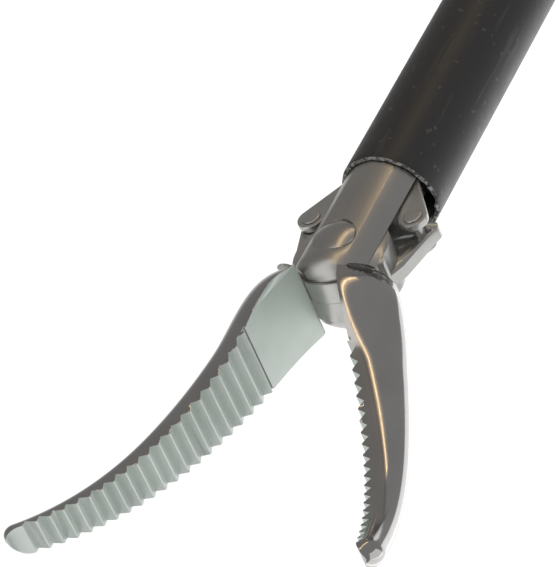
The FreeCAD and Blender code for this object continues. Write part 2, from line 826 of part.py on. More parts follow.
# The push rod: a long round rod ending in a flat tongue that carries both links.
push_rod = new_body("push_rod")
section = new_sketch(push_rod, "YZ_Plane", "push_rod_section", ball_x + ball_radius * 0.8)
circle(section, 0.0, 0.0, rod_radius)
rod_length = tongue_x - tongue_back + 0.4 - ball_x - ball_radius * 0.8
pad(push_rod, section, "push_rod_bar", rod_length)
plate = new_sketch(push_rod, "XZ_Plane", "push_rod_tongue_outline", tail_outer * -1)
tip_height = tongue_half * 0.75
polygon(plate, [
    (tongue_x - tongue_back, rod_radius * -1),
    (tongue_x - tongue_back + 0.5, tongue_half * -1),
    (tongue_x + tongue_front * 0.5, tongue_half * -1),
    (tongue_x + tongue_front, tip_height * -1),
    (tongue_x + tongue_front, tip_height),
    (tongue_x + tongue_front * 0.5, tongue_half),
    (tongue_x - tongue_back + 0.5, tongue_half),
    (tongue_x - tongue_back, rod_radius),
])
pad(push_rod, plate, "push_rod_tongue", tail_outer * 2)
eyes = new_sketch(push_rod, "XZ_Plane", "push_rod_eyes")
circle(eyes, tongue_x, link_pin_offset, link_pin)
circle(eyes, tongue_x, link_pin_offset * -1, link_pin)
pocket(push_rod, eyes, "push_rod_eyes_cut", slot_width * 3, middle=True)

# The two small pins that join the links to the tongue.
for label, sign in (("link_pin_upper", -1), ("link_pin_lower", 1)):
    pin = new_body(label)
    profile = new_sketch(pin, "XY_Plane", label + "_profile")
    polygon(profile, [
        (0.0, tail_outer),
        (link_pin, tail_outer),
        (link_pin, link_far * -1 - 0.02),
        (link_pin_head, link_far * -1 - 0.02),
        (link_pin_head * 0.9, link_far * -1 - 0.08),
        (0.0, link_far * -1 - 0.08),
    ])
    feature = pin.newObject("PartDesign::Revolution", label + "_turned")
    feature.Profile = profile
    feature.ReferenceAxis = (profile, ["V_Axis"])
    feature.Angle = 360
    doc.recompute()
    place(pin, tongue_x, 0.0, link_pin_offset * sign)

# The ball at the rear end of the push rod, held in the lever's yoke.
ball = new_body("rod_ball")
profile = new_sketch(ball, "XZ_Plane", "rod_ball_profile")
r = ball_radius.value
flat = ball_radius * 0.8
rise = ball_radius * 0.6
ball_circle = Part.Circle(V(0, 0, 0), V(0, 0, 1), r)
start = math.atan2(0.6, 0.8)
profile.addGeometry(Part.ArcOfCircle(ball_circle, start, math.pi), False)
profile.addGeometry(Part.LineSegment(V(-r, 0, 0), V(0.8 * r, 0, 0)), False)
profile.addGeometry(Part.LineSegment(V(0.8 * r, 0, 0), V(0.8 * r, 0.6 * r, 0)), False)
profile.addConstraint(Sketcher.Constraint("Coincident", 0, 2, 1, 1))
profile.addConstraint(Sketcher.Constraint("Coincident", 1, 2, 2, 1))
profile.addConstraint(Sketcher.Constraint("Coincident", 2, 2, 0, 1))
profile.addConstraint(Sketcher.Constraint("Horizontal", 1))
profile.addConstraint(Sketcher.Constraint("Vertical", 2))
profile.addConstraint(Sketcher.Constraint("Coincident", 0, 3, -1, 1))
limit(profile, "Radius", 0, ball_radius)
limit(profile, "DistanceX", -1, 1, 1, 2, flat)
profile.addConstraint(Sketcher.Constraint("PointOnObject", 1, 1, -1))
revolve(ball, profile, "rod_ball_turned")
place(ball, ball_x, 0.0, 0.0)

# The shaft tube: thin steel tube from the bushing to the clevis barrel.
shaft_tube = new_body("shaft_tube")
section = new_sketch(shaft_tube, "YZ_Plane", "shaft_tube_section", tube_rear * -1)
circle(section, 0.0, 0.0, barrel_radius)
circle(section, 0.0, 0.0, tube_inner)
pad(shaft_tube, section, "shaft_tube_length", tube_rear + barrel_rear)

# The insulation sleeve: black plastic over the tube and the barrel's rear half.
sleeve = new_body("insulation_sleeve")
section = new_sketch(sleeve, "YZ_Plane", "sleeve_section", sleeve_rear * -1)
circle(section, 0.0, 0.0, shaft_radius)
circle(section, 0.0, 0.0, barrel_radius)
pad(sleeve, section, "sleeve_length", sleeve_rear + pivot_x - rim_setback)

# The rotation knob: a moulded fluted wheel that turns the whole shaft.
knob = new_body("rotation_knob")
profile = new_sketch(knob, "XZ_Plane", "knob_profile")
polygon(profile, [
    (0.0, shaft_radius),
    (0.0, knob_nose_radius - 1.2),
    (-1.2, knob_nose_radius),
    (knob_cone * -0.45, knob_nose_radius + (knob_radius - knob_nose_radius) * 0.3),
    (knob_cone * -1, knob_radius - 1.5),
    (knob_cone * -1 - 2, knob_radius),
    (knob_length * -1 + knob_waist + 3, knob_radius),
    (knob_length * -1 + knob_waist, knob_radius - 2),
    (knob_length * -1 + knob_waist, knob_rear_radius),
    (knob_length * -1, knob_rear_radius),
    (knob_length * -1, bushing_radius - 2),
    (sleeve_rear * -1 - 8, bushing_radius - 2),
    (sleeve_rear * -1 - 8, barrel_radius),
    (sleeve_rear * -1, barrel_radius),
    (sleeve_rear * -1, shaft_radius),
])
revolve(knob, profile, "knob_turned")
flute = new_sketch(knob, "YZ_Plane", "knob_flute", knob_length * -1 + knob_waist)
circle(flute, 0.0, flute_offset, flute_radius)
cut = pocket(knob, flute, "knob_flute_cut", knob_length, backward=True)
ring = knob.newObject("PartDesign::PolarPattern", "knob_flutes")
ring.Originals = [cut]
ring.Axis = (origin_item(knob, "X_Axis"), [""])
ring.Angle = 360
ring.Occurrences = int(flute_count.value)
bind(ring, "Occurrences", flute_count)
knob.Tip = ring
doc.recompute()

# The flushing port: a short spout on the knob's nose with a soft cap.
port = new_body("flush_port")
profile = new_sketch(port, "XZ_Plane", "port_profile")
polygon(profile, [
    (port_bore, 0.0),
    (port_radius + port_flare, 0.0),
    (port_radius + port_flare, port_length * 0.28),
    (port_radius, port_length * 0.45),
    (port_radius, port_length),
    (port_bore, port_length),
])
feature = port.newObject("PartDesign::Revolution", "port_turned")
feature.Profile = profile
feature.ReferenceAxis = (profile, ["V_Axis"])
feature.Angle = 360
doc.recompute()
place(port, -1 * port_x, 0.0, port_seat)

cap = new_body("port_cap")
profile = new_sketch(cap, "XZ_Plane", "cap_profile")
polygon(profile, [
    (0.0, port_length),
    (port_radius, port_length),
    (port_radius, port_length - port_cap_height * 0.6),
    (port_cap_radius, port_length - port_cap_height * 0.6),
    (port_cap_radius, port_length + port_cap_height * 0.3),
    (port_cap_radius - 0.6, port_length + port_cap_height * 0.4),
    (0.0, port_length + port_cap_height * 0.4),
])
feature = cap.newObject("PartDesign::Revolution", "cap_turned")
feature.Profile = profile
feature.ReferenceAxis = (profile, ["V_Axis"])
feature.Angle = 360
doc.recompute()
place(cap, -1 * port_x, 0.0, port_seat)

# The shaft bushing: a steel sleeve on the tube that turns in the handle's nose
# and keeps the shaft in place with its flange.
bushing = new_body("shaft_bushing")
profile = new_sketch(bushing, "XZ_Plane", "bushing_profile")
bushing_front = sleeve_rear * -1 - 8
flange_front = nose_rear - 0.3
polygon(profile, [
    (bushing_front, barrel_radius),
    (bushing_front, bushing_radius - 2),
    (knob_length * -1, bushing_radius - 2),
    (knob_length * -1, bushing_radius),
    (flange_front, bushing_radius),
    (flange_front, bushing_flange),
    (flange_front - bushing_flange_thick, bushing_flange),
    (flange_front - bushing_flange_thick, barrel_radius),
])
revolve(bushing, profile, "bushing_turned")

# The handle: a moulded housing with a round nose for the shaft, a slot for the
# lever and a long finger loop below.
handle = new_body("handle_body")
lever_slot = lever_thick + lever_side_gap * 2
flange_end = flange_front - bushing_flange_thick
joint_x = nose_rear + 2.4
outline = new_sketch(handle, "XZ_Plane", "handle_side")
polygon(outline, [
    (joint_x, nose_radius * 0.9),
    (joint_x - 6, body_top),
    (-1 * body_rear + 9, body_top),
    (-1 * body_rear, body_top - 8),
    (-1 * body_rear, body_low * -0.33),
    (-1 * body_rear + 9, body_low * -0.92),
    (joint_x - 8, body_low * -1),
    (joint_x, nose_radius * -0.9),
])
pad(handle, outline, "handle_block", body_thick, middle=True)


def upright(item):
    box = item.BoundBox
    return abs(box.YLength - body_thick.value) < 1e-3 and box.XLength < 1e-3 and box.ZLength < 1e-3


round_edges(handle, "handle_corners", corner_round, upright)


def side_rim(item):
    box = item.BoundBox
    return box.YLength < 1e-3 and abs(abs(box.YMin) - body_thick.value / 2) < 1e-3


round_edges(handle, "handle_edges", body_edge, side_rim)
nose = new_sketch(handle, "YZ_Plane", "handle_nose_ring", nose_front)
circle(nose, 0.0, 0.0, nose_radius)
pad(handle, nose, "handle_nose", nose_length + 6, backward=True)
neck = new_sketch(handle, "XZ_Plane", "handle_neck_outline")
loop_top = loop_drop - loop_half
polygon(neck, [
    (loop_x * -1 + 9, body_low * -1 + 6),
    (loop_x * -1 + 12.5, loop_top * -1 + 2),
    (loop_x * -1 + 11, loop_top * -1 - 4),
    (loop_x * -1 - 15.5, loop_top * -1 - 4),
    (loop_x * -1 - 17, loop_top * -1 + 3),
    (loop_x * -1 - 8, body_low * -1 - 0.5),
    (loop_x * -1, body_low * -1 + 4),
])
pad(handle, neck, "handle_neck", loop_thick, middle=True)
loop = new_sketch(handle, "XZ_Plane", "handle_loop_outline")
slot_outline(loop, loop_x * -1, loop_drop * -1, loop_half, loop_inner + loop_wall, loop_turn)
pad(handle, loop, "handle_loop", loop_thick, middle=True)
inner = new_sketch(handle, "XZ_Plane", "handle_loop_hole")
slot_outline(inner, loop_x * -1, loop_drop * -1, loop_half, loop_inner, loop_turn)
pocket(handle, inner, "handle_loop_cut", loop_thick * 3, middle=True)


def loop_rim(item):
    box = item.BoundBox
    flat_side = box.YLength < 1e-3 and abs(abs(box.YMin) - loop_thick.value / 2) < 1e-3
    return flat_side and box.ZMin < -body_low.value - 2


round_edges(handle, "handle_loop_edges", loop_edge, loop_rim)
channel = new_sketch(handle, "XZ_Plane", "handle_lever_slot")
slot_top = lever_drop * 0.72
polygon(channel, [
    (flange_end - 0.4, slot_top),
    (lever_x * -1 - 8, slot_top),
    (lever_x * -1 - 14, 0.0),
    (body_rear * -1 + 3, lever_drop * -1 - 2),
    (body_rear * -1 - 16, lever_drop * -1 - 14),
    (body_rear * -1 - 16, lever_drop * -1 - 50),
    (lever_x * -1 - 12, lever_drop * -1 - 24),
    (lever_x * -1 + 2, lever_drop * -1 - 15),
    (lever_x * -1 + 8, lever_drop * -1 - 6),
    (flange_end - 0.4, slot_top * -1),
])
pocket(handle, channel, "handle_lever_cut", lever_slot, middle=True)
bore = new_sketch(handle, "XZ_Plane", "handle_bore_profile")
polygon(bore, [
    (nose_front + 1, 0.0),
    (nose_front + 1, bushing_radius + bushing_clearance),
    (nose_rear, bushing_radius + bushing_clearance),
    (nose_rear, bushing_flange + 0.3),
    (flange_end - 0.5, bushing_flange + 0.3),
    (flange_end - 0.5, 0.0),
])
cut = handle.newObject("PartDesign::Groove", "handle_bore")
cut.Profile = bore
cut.ReferenceAxis = (bore, ["H_Axis"])
cut.Angle = 360
doc.recompute()
hole = new_sketch(handle, "XZ_Plane", "handle_screw_hole")
circle(hole, lever_x * -1, lever_drop * -1, screw_radius)
pocket(handle, hole, "handle_screw_cut", body_thick * 2, middle=True)
hole = new_sketch(handle, "XY_Plane", "handle_post_hole", body_top - post_root)
circle(hole, post_x * -1, 0.0, post_foot)
pocket(handle, hole, "handle_post_cut", post_root * 2, backward=True)
hole = new_sketch(handle, "XY_Plane", "handle_button_hole", body_top - button_depth)
circle(hole, button_x * -1, 0.0, button_radius + button_gap)
pocket(handle, hole, "handle_button_cut", button_depth * 2, backward=True)
hole = new_sketch(handle, "XY_Plane", "handle_port_hole", port_seat)
circle(hole, port_x * -1, 0.0, port_radius + port_flare)
pocket(handle, hole, "handle_port_cut", nose_radius, backward=True)

# The lever: a thumb ring on an arm, with a forked yoke over the rod's ball.
lever = new_body("thumb_lever")
ring_a = ring_x * -1 + lever_x
ring_b = ring_drop * -1 + lever_drop
span = root(ring_a * ring_a + ring_b * ring_b)
ux = ring_a / span
uz = ring_b / span
wide = arm_width / 2
slim = arm_slim / 2
stop = span - ring_inner - ring_wall * 0.5
arm = new_sketch(lever, "XZ_Plane", "lever_arm_outline")
polygon(arm, [
    (uz * wide, ux * wide * -1),
    (ux * stop + uz * slim, uz * stop - ux * slim),
    (ux * stop - uz * slim, uz * stop + ux * slim),
    (uz * wide * -1, ux * wide),
])
pad(lever, arm, "lever_arm", lever_thick, middle=True)
disc = new_sketch(lever, "XZ_Plane", "lever_boss_outline")
circle(disc, 0.0, 0.0, boss_radius)
pad(lever, disc, "lever_boss", lever_thick, middle=True)
yoke_half = ball_radius + ball_gap + yoke_wall
yoke = new_sketch(lever, "XZ_Plane", "lever_yoke_outline")
polygon(yoke, [
    (yoke_half * -1, 0.0),
    (yoke_half, 0.0),
    (yoke_half, lever_drop + ball_radius + 1),
    (yoke_half - 0.8, lever_drop + ball_radius + 2),
    (yoke_half * -1 + 0.8, lever_drop + ball_radius + 2),
    (yoke_half * -1, lever_drop + ball_radius + 1),
])
pad(lever, yoke, "lever_yoke", lever_thick, middle=True)
seat = new_sketch(lever, "XZ_Plane", "lever_ball_slot")
slot_low = lever_drop - ball_radius - 0.9
polygon(seat, [
    ((ball_radius + ball_gap) * -1, slot_low),
    (ball_radius + ball_gap, slot_low),
    (ball_radius + ball_gap, lever_drop + ball_radius + 3),
    ((ball_radius + ball_gap) * -1, lever_drop + ball_radius + 3),
])
pocket(lever, seat, "lever_ball_cut", lever_thick * 2, middle=True)
way = new_sketch(lever, "YZ_Plane", "lever_rod_slot")
rod_way = rod_radius + 0.35
polygon(way, [
    (rod_way * -1, slot_low + 1),
    (rod_way, slot_low + 1),
    (rod_way, lever_drop + ball_radius + 3),
    (rod_way * -1, lever_drop + ball_radius + 3),
])
pocket(lever, way, "lever_rod_cut", yoke_half + 2, backward=True)
ring = new_sketch(lever, "XZ_Plane", "lever_ring_outline")
circle(ring, ring_a, ring_b, ring_inner + ring_wall)
pad(lever, ring, "lever_ring", loop_thick, middle=True)
eye = new_sketch(lever, "XZ_Plane", "lever_ring_hole")
circle(eye, ring_a, ring_b, ring_inner)
pocket(lever, eye, "lever_ring_cut", loop_thick * 3, middle=True)


def ring_rim(item):
    box = item.BoundBox
    flat_side = box.YLength < 1e-3 and abs(abs(box.YMin) - loop_thick.value / 2) < 1e-3
    return flat_side


round_edges(lever, "lever_ring_edges", loop_edge, ring_rim)
hole = new_sketch(lever, "XZ_Plane", "lever_screw_hole")
circle(hole, 0.0, 0.0, screw_radius + running_clearance)
pocket(lever, hole, "lever_screw_cut", lever_thick * 2, middle=True)
place(lever, lever_x * -1, 0.0, lever_drop * -1)

# The lever's pivot: a slotted screw from one side and a round nut on the other.
half_body = body_thick / 2
screw = new_body("pivot_screw")
profile = new_sketch(screw, "XY_Plane", "screw_profile")
polygon(profile, [
    (0.0, half_body),
    (screw_radius, half_body),
    (screw_radius, half_body * -1),
    (screw_head_radius, half_body * -1),
    (screw_head_radius, half_body * -1 - screw_head_thick * 0.55),
    (screw_head_radius - 1, half_body * -1 - screw_head_thick),
    (0.0, half_body * -1 - screw_head_thick),
])
feature = screw.newObject("PartDesign::Revolution", "screw_turned")
feature.Profile = profile
feature.ReferenceAxis = (profile, ["V_Axis"])
feature.Angle = 360
doc.recompute()
drive = new_sketch(screw, "XZ_Plane", "screw_drive", half_body + screw_head_thick * 0.4)
polygon(drive, [
    (screw_head_radius * -1.2, screw_slot * -0.5),
    (screw_head_radius * 1.2, screw_slot * -0.5),
    (screw_head_radius * 1.2, screw_slot * 0.5),
    (screw_head_radius * -1.2, screw_slot * 0.5),
])
pocket(screw, drive, "screw_drive_cut", screw_head_thick * 2, backward=True)
place(screw, lever_x * -1, 0.0, lever_drop * -1)

nut = new_body("pivot_nut")
profile = new_sketch(nut, "XY_Plane", "nut_profile")
polygon(profile, [
    (0.0, half_body),
    (screw_head_radius, half_body),
    (screw_head_radius, half_body + screw_head_thick * 0.55),
    (screw_head_radius - 1, half_body + screw_head_thick),
    (0.0, half_body + screw_head_thick),
])
feature = nut.newObject("PartDesign::Revolution", "nut_turned")
feature.Profile = profile
feature.ReferenceAxis = (profile, ["V_Axis"])
feature.Angle = 360
doc.recompute()
place(nut, lever_x * -1, 0.0, lever_drop * -1)

# The electrode post: a plain round contact pin in a plastic collar.
post = new_body("electrode_post")
profile = new_sketch(post, "XZ_Plane", "post_profile")
post_top = collar_height + post_length
polygon(profile, [
    (0.0, post_root * -1),
    (post_foot, post_root * -1),
    (post_foot, collar_height),
    (post_radius, collar_height),
    (post_radius, post_top - 0.6),
    (post_radius - 0.6, post_top),
    (0.0, post_top),
])
feature = post.newObject("PartDesign::Revolution", "post_turned")
feature.Profile = profile
feature.ReferenceAxis = (profile, ["V_Axis"])
feature.Angle = 360
doc.recompute()
place(post, post_x * -1, 0.0, body_top)

collar = new_body("post_collar")
profile = new_sketch(collar, "XZ_Plane", "collar_profile")
polygon(profile, [
    (post_foot, 0.0),
    (collar_radius, 0.0),
    (collar_radius, collar_height * 0.45),
    (collar_radius * 0.86, collar_height * 0.55),
    (collar_radius * 0.86, collar_height - 0.8),
    (collar_radius * 0.86 - 0.8, collar_height),
    (post_foot, collar_height),
])
feature = collar.newObject("PartDesign::Revolution", "collar_turned")
feature.Profile = profile
feature.ReferenceAxis = (profile, ["V_Axis"])
feature.Angle = 360
doc.recompute()
place(collar, post_x * -1, 0.0, body_top)

# The release button: a round push button on the housing's top.
button = new_body("release_button")
profile = new_sketch(button, "XZ_Plane", "button_profile")
polygon(profile, [
    (0.0, button_travel * -1 - button_grip),
    (button_radius, button_travel * -1 - button_grip),
    (button_radius, button_height - 0.7),
    (button_radius - 0.7, button_height),
    (0.0, button_height),
])
feature = button.newObject("PartDesign::Revolution", "button_turned")
feature.Profile = profile
feature.ReferenceAxis = (profile, ["V_Axis"])
feature.Angle = 360
doc.recompute()
place(button, button_x * -1, 0.0, body_top)

# Everything exported, with its own name
doc.recompute()
pieces = [item for item in doc.Objects if item.TypeId == "PartDesign::Body"]
os.makedirs("parts", exist_ok=True)
for item in doc.Objects:
    if "Invalid" in item.State or "Error" in item.State:
        raise RuntimeError("%s failed: %s" % (item.Name, item.State))
for item in pieces:
    shape = item.Shape
    if shape.isNull() or not shape.isValid():
        raise RuntimeError("%s has no valid shape" % item.Label)
for item in pieces:
    item.Shape.exportStep("parts/%s.step" % item.Label)
    box = item.Shape.BoundBox
    print("%-20s solids %d volume %.3f x %.1f..%.1f y %.2f..%.2f z %.2f..%.2f" % (
        item.Label,
        len(item.Shape.Solids),
        item.Shape.Volume,
        box.XMin,
        box.XMax,
        box.YMin,
        box.YMax,
        box.ZMin,
        box.ZMax,
    ))
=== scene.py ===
import math

import bpy
from mathutils import Matrix, Vector, noise


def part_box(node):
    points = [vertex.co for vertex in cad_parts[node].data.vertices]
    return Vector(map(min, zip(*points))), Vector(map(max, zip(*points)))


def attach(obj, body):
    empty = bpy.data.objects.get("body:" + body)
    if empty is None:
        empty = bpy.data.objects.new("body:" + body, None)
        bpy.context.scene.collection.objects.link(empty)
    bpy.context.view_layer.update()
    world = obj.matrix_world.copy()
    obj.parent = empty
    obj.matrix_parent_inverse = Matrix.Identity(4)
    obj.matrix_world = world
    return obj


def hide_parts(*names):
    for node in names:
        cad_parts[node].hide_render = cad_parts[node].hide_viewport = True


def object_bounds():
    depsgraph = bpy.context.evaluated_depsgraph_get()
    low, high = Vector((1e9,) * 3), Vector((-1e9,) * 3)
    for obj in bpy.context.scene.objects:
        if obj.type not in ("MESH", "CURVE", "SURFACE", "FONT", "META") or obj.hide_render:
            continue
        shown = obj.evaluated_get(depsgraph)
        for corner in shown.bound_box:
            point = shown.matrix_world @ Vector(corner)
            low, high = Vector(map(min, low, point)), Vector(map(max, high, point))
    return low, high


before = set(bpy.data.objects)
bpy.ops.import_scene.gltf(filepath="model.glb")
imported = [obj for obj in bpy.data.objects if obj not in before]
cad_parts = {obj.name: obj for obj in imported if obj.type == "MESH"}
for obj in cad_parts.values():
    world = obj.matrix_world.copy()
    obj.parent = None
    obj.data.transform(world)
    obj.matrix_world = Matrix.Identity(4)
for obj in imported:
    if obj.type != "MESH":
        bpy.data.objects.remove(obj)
cad_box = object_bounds()

# The camera stands about 170 mm from the jaw pin, in front, above and to the
# right of the handle, with a long lens that takes in the jaws and the tip.
pin_low, pin_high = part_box("jaw_pin")
jaw_axis = Vector(((pin_low.x + pin_high.x) / 2, 0.0, (pin_low.z + pin_high.z) / 2))
camera_turn = Vector((-1.2141, 0.4650, -2.1450))
to_camera = Matrix.Rotation(camera_turn.length, 3, camera_turn.normalized())
from_camera = to_camera.transposed()
camera_place = jaw_axis + from_camera @ Vector((-0.003258, -0.000650, 0.167328))
focal_pixels = 3577.08
picture_height = 567.0

bpy.ops.object.select_all(action="DESELECT")
bpy.ops.object.camera_add(location=camera_place)
camera = bpy.context.object
camera.name = "photo_camera"
camera.rotation_mode = "QUATERNION"
camera.rotation_quaternion = from_camera.to_quaternion()
camera.data.sensor_width = 36.0
camera.data.lens = camera.data.sensor_width * focal_pixels / picture_height
camera.data.clip_start = 0.005
camera.data.clip_end = 20.0
bpy.context.scene.camera = camera


# Insulating sleeve. A black polymer tube shrunk over the steel shaft, so that
# current reaches only the jaws; it is cut by hand and chipped at the front.
class Field:
    """A shader socket in a Python expression; each operator adds its Math node."""

    def __init__(self, finish, socket):
        self.finish = finish
        self.socket = socket

    def maths(self, operation, first, second):
        return self.finish.node("ShaderNodeMath", {0: first, 1: second}, operation=operation)

    def __add__(self, other):
        return self.maths("ADD", self, other)

    def __radd__(self, other):
        return self.maths("ADD", other, self)

    def __sub__(self, other):
        return self.maths("SUBTRACT", self, other)

    def __rsub__(self, other):
        return self.maths("SUBTRACT", other, self)

    def __mul__(self, other):
        return self.maths("MULTIPLY", self, other)

    def __rmul__(self, other):
        return self.maths("MULTIPLY", other, self)


class Finish:
    """One surface finish, a Principled shader with the nodes that feed it."""

    def __init__(self, name, colour, roughness, metallic=0.0):
        self.material = bpy.data.materials.new(name)
        self.material.use_nodes = True
        self.shader = self.material.node_tree.nodes["Principled BSDF"]
        self.give("Base Color", (*colour, 1.0))
        self.give("Roughness", roughness)
        self.give("Metallic", metallic)
        self.place = self.node("ShaderNodeTexCoord", out="Object")

    def node(self, kind, inputs=None, out=0, stops=None, **settings):
        made = self.material.node_tree.nodes.new(kind)
        for setting, value in settings.items():
            setattr(made, setting, value)
        if stops:
            made.color_ramp.elements[0].position = stops[0]
            made.color_ramp.elements[1].position = stops[1]
        for socket, value in (inputs or {}).items():
            self.feed(made.inputs[socket], value)
        return Field(self, made.outputs[out])

    def feed(self, socket, value):
        if isinstance(value, Field):
            self.material.node_tree.links.new(value.socket, socket)
        else:
            socket.default_value = value

    def give(self, socket, value):
        self.feed(self.shader.inputs[socket], value)

    def grain(self, scale, detail, stretch=(1.0, 1.0, 1.0)):
        """Noise on the piece, with its own length of grain along each axis."""
        mapped = self.node("ShaderNodeMapping", {"Vector": self.place, "Scale": stretch})
        inputs = {"Vector": mapped, "Scale": scale, "Detail": detail}
        return self.node("ShaderNodeTexNoise", inputs)

    def band(self, value, low, high):
        """Rises smoothly from 0 to 1 as a value goes from low to high."""
        return self.node("ShaderNodeValToRGB", {0: value}, stops=(low, high))

    def tint(self, factor, first, second):
        """A colour between two."""
        inputs = {0: factor, 6: (*first, 1.0), 7: (*second, 1.0)}
        return self.node("ShaderNodeMix", inputs, out=2, data_type="RGBA")

    def relief(self, height, depth):
        """Fine relief of that depth in metres."""
        inputs = {"Strength": 1.0, "Distance": depth, "Height": height}
        return self.node("ShaderNodeBump", inputs)


black_sleeve = Finish("black_sleeve", (0.040, 0.040, 0.042), 0.38)
mottle = black_sleeve.grain(900.0, 3.0)
specks = black_sleeve.band(black_sleeve.grain(2600.0, 1.0), 0.70, 0.74)
drag_marks = black_sleeve.band(black_sleeve.grain(1.0, 3.0, (220.0, 2600.0, 2600.0)), 0.60, 0.72)
wear = 0.5 * specks + 0.25 * drag_marks
black_sleeve.give("Base Color", black_sleeve.tint(wear, (0.040, 0.040, 0.042), (0.15, 0.15, 0.15)))
black_sleeve.give("Roughness", 0.36 + 0.14 * mottle)
black_sleeve.give("Normal", black_sleeve.relief(mottle + 0.4 * drag_marks, 0.000012))

weld = 0.0000005


def deselect():
    """Leaves nothing selected, so that the next operator acts on its own piece."""
    if bpy.context.object and bpy.context.object.mode != "OBJECT":
        bpy.ops.object.mode_set(mode="OBJECT")
    bpy.ops.object.select_all(action="DESELECT")


def pick(piece):
    """Makes a piece the only one that the next operator acts on."""
    deselect()
    piece.select_set(True)
    bpy.context.view_layer.objects.active = piece


def turned(name, stations, sides=96):
    """A piece turned about the shaft axis, drawn out from ring to ring of (x, radius) in metres."""
    deselect()
    start, radius = stations[0]
    bpy.ops.mesh.primitive_circle_add(
        vertices=sides, radius=radius, location=(start, 0.0, 0.0), rotation=(0.0, math.pi / 2, 0.0)
    )
    piece = bpy.context.object
    piece.name = name
    bpy.ops.object.transform_apply(location=True, rotation=True, scale=True)
    bpy.ops.object.mode_set(mode="EDIT")
    bpy.ops.mesh.select_all(action="SELECT")
    for x, wide in stations[1:]:
        bpy.ops.mesh.extrude_region_move(TRANSFORM_OT_translate={"value": (x - start, 0.0, 0.0)})
        ratio = wide / radius
        bpy.ops.transform.resize(value=(1.0, ratio, ratio), center_override=(x, 0.0, 0.0))
        start, radius = x, wide
    bpy.ops.mesh.select_all(action="SELECT")
    bpy.ops.mesh.remove_doubles(threshold=weld)
    bpy.ops.mesh.normals_make_consistent(inside=False)
    bpy.ops.object.mode_set(mode="OBJECT")
    return piece


def smooth(piece, degrees=35.0):
    """Shades round faces round; edges past the angle stay crisp."""
    pick(piece)
    bpy.ops.object.shade_smooth_by_angle(angle=math.radians(degrees))


sleeve_low, sleeve_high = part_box("insulation_sleeve")
sleeve_outside = sleeve_high.z
sleeve_play = 0.00001
sleeve_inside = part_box("shaft_tube")[1].z + sleeve_play
front = sleeve_high.x
rim_length = 0.0010
rim_scale = 1400.0
rim_unevenness = 0.00006
chip_heading = math.radians(105.0)
chip_scale = 4200.0
chip_unevenness = 0.00022
chip_depth = 0.00010
sleeve = turned(
    "shrunk_sleeve",
    [
        (sleeve_low.x, sleeve_inside),
        (sleeve_low.x, sleeve_outside),
        (front - 0.0040, sleeve_outside),
        (front - 0.0012, sleeve_outside),
        (front - 0.0005, sleeve_outside),
        (front - 0.00015, sleeve_outside),
        (front - 0.00004, sleeve_outside - 0.00003),
        (front, sleeve_outside - 0.00009),
        (front, sleeve_inside + 0.00004),
        (front - 0.0005, sleeve_inside),
        (front - 0.0040, sleeve_inside),
        (sleeve_low.x, sleeve_inside),
    ],
    sides=160,
)
for vertex in sleeve.data.vertices:
    near_rim = max(0.0, 1.0 - (front - vertex.co.x) / rim_length)
    around = math.atan2(vertex.co.z, -vertex.co.y)
    chipped = max(0.0, math.cos(around - chip_heading)) ** 4
    ragged = noise.noise(Vector((0.0, vertex.co.y, vertex.co.z)) * rim_scale)
    fine = noise.noise(Vector((7.0, vertex.co.y * chip_scale, vertex.co.z * chip_scale)))
    vertex.co.x += near_rim * (rim_unevenness * ragged + chipped * (chip_unevenness * fine - chip_depth))
smooth(sleeve)
cut_edge = Finish("cut_edge", (0.22, 0.22, 0.22), 0.55)
crumbs = cut_edge.grain(5200.0, 2.0)
torn = cut_edge.band(crumbs, 0.40, 0.62)
cut_edge.give("Base Color", cut_edge.tint(torn, (0.10, 0.10, 0.10), (0.62, 0.62, 0.60)))
cut_edge.give("Normal", cut_edge.relief(crumbs, 0.00004))
sleeve.data.materials.append(black_sleeve.material)
sleeve.data.materials.append(cut_edge.material)
for face in sleeve.data.polygons:
    if face.normal.x > 0.40:
        face.material_index = 1
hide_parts("insulation_sleeve")
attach(sleeve, "shaft")


# Shaft tube. Drawn stainless steel, hidden by the sleeve from the knob to the
# clevis, which is welded into its front end.
steel = Finish("polished_steel", (0.47, 0.46, 0.44), 0.24, 1.0)
cloud = steel.grain(420.0, 3.0)
polish_lines = steel.grain(1.0, 3.0, (350.0, 5200.0, 5200.0))
steel.give("Base Color", steel.tint(cloud, (0.40, 0.39, 0.37), (0.54, 0.53, 0.51)))
steel.give("Roughness", 0.17 + 0.12 * cloud + 0.06 * polish_lines)
steel.give("Normal", steel.relief(polish_lines + 0.5 * cloud, 0.0000035))


def eased(piece, width, degrees=35.0, levels=2):
    """Bevels the edges that are sharper than the angle and shades the rest smooth."""
    pick(piece)
    if width:
        edges = piece.modifiers.new("eased_edges", "BEVEL")
        edges.width = width
        edges.segments = levels
        edges.limit_method = "ANGLE"
        edges.angle_limit = math.radians(degrees)
        edges.use_clamp_overlap = True
        bpy.ops.object.modifier_apply(modifier=edges.name)
    smooth(piece, degrees)


def seated(piece, node, body, finish):
    """Puts a finished piece in the CAD node's place, with its finish, riding on its body."""
    piece.data.materials.clear()
    piece.data.materials.append(finish.material)
    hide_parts(node)
    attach(piece, body)


def open_whole(piece):
    """Opens a piece for editing, with all of it selected."""
    pick(piece)
    bpy.ops.object.mode_set(mode="EDIT")
    bpy.ops.mesh.select_all(action="SELECT")


def merged(node):
    """A copy of a CAD piece with its facets joined."""
    piece = bpy.data.objects.new(node + "_dressed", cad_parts[node].data.copy())
    bpy.context.scene.collection.objects.link(piece)
    open_whole(piece)
    bpy.ops.mesh.remove_doubles(threshold=weld)
    bpy.ops.mesh.dissolve_limited(angle_limit=math.radians(0.4))
    bpy.ops.object.mode_set(mode="OBJECT")
    bpy.ops.mesh.customdata_custom_splitnormals_clear()
    return piece


